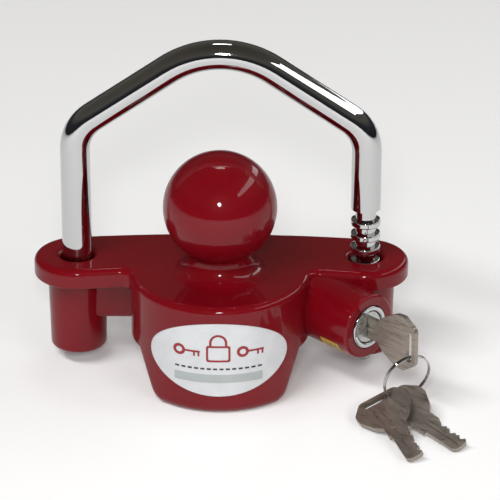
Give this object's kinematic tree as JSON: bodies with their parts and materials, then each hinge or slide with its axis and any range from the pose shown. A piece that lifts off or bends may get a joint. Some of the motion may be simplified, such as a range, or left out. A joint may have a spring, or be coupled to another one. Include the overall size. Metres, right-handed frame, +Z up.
{
  "type": "trailer coupler lock",
  "caption": "Keyed trailer coupler lock: red cast body with a ball on top, chromed steel shackle with a notched leg, angled lock barrel, and keys on a split ring.",
  "frame": {"origin": "under the ball's axis, on the plane that the body's foot stands on", "axes": "+Z up along the ball's axis, +X towards the notched shackle leg and the lock barrel, -Y towards the labelled front"},
  "size_m": [0.1786, 0.1143, 0.1442],
  "materials": {
    "red_paint": "glossy dark red enamel",
    "chrome": "bright chrome plate",
    "plated_steel": "zinc plated",
    "lock_brass": "machined",
    "lock_nickel": "nickel plated, satin",
    "spring_steel": "drawn wire",
    "key_nickel": "nickel plated, lightly worn",
    "ring_steel": "bright nickel plate",
    "label_white": "gloss label",
    "label_yellow": "gloss label"
  },
  "bodies": {
    "body": {"body_casting": "red_paint", "coupler_ball": "red_paint", "ball_washer": "plated_steel", "ball_nut": "plated_steel", "lock_cylinder_housing": "lock_brass", "cylinder_bezel": "chrome", "cylinder_pin": "plated_steel", "bolt_bore_plug": "plated_steel", "front_label": "label_white", "barrel_label": "label_yellow"},
    "shackle": {"shackle": "chrome"},
    "plug": {"cylinder_plug": "lock_nickel", "plug_clip": "plated_steel", "wafer_tumblers": "lock_brass", "wafer_springs": "spring_steel", "drive_cam": "lock_nickel"},
    "bolt": {"locking_bolt": "plated_steel", "bolt_spring": "spring_steel"},
    "key": {"working_key": "key_nickel"},
    "ring": {"key_ring": "ring_steel"},
    "spare_key_a": {"spare_key_a": "key_nickel"},
    "spare_key_b": {"spare_key_b": "key_nickel"}
  },
  "joints": [
    {"name": "shackle_slide", "type": "slide", "parent": "body", "child": "shackle", "axis": [0, 0, 1], "range_m": [-0.018, 0.054]},
    {"name": "key_turn", "type": "hinge", "parent": "body", "child": "plug", "pos_m": [0.0614, -0.0196, 0.0321], "axis": [-0.7071, 0.7071, 0], "range_deg": [0, 90]},
    {"name": "bolt_slide", "type": "slide", "parent": "body", "child": "bolt", "axis": [0.7071, 0.7071, 0], "range_m": [0, 0.00231], "deforming": ["bolt_spring"]},
    {"name": "key_pull", "type": "slide", "parent": "plug", "child": "key", "axis": [0.7071, -0.7071, 0], "range_m": [0, 0.026]},
    {"name": "ring_swing", "type": "hinge", "parent": "key", "child": "ring", "pos_m": [0.07802, -0.03622, 0.0269], "axis": [-0.8682, -0.4961, 0], "range_deg": [-12, 12]},
    {"name": "spare_key_a_slide", "type": "hinge", "parent": "ring", "child": "spare_key_a", "pos_m": [0.07685, -0.03418, 0.01656], "axis": [0.4838, -0.8466, -0.2217], "range_deg": [-60, 0]},
    {"name": "spare_key_b_slide", "type": "hinge", "parent": "ring", "child": "spare_key_b", "pos_m": [0.07685, -0.03418, 0.01656], "axis": [0.4838, -0.8466, -0.2217], "range_deg": [0, 30]}
  ],
  "couplings": [
    {"joint": "bolt_slide", "follows": "key_turn", "m_per_rad": 0.0014642}
  ]
}
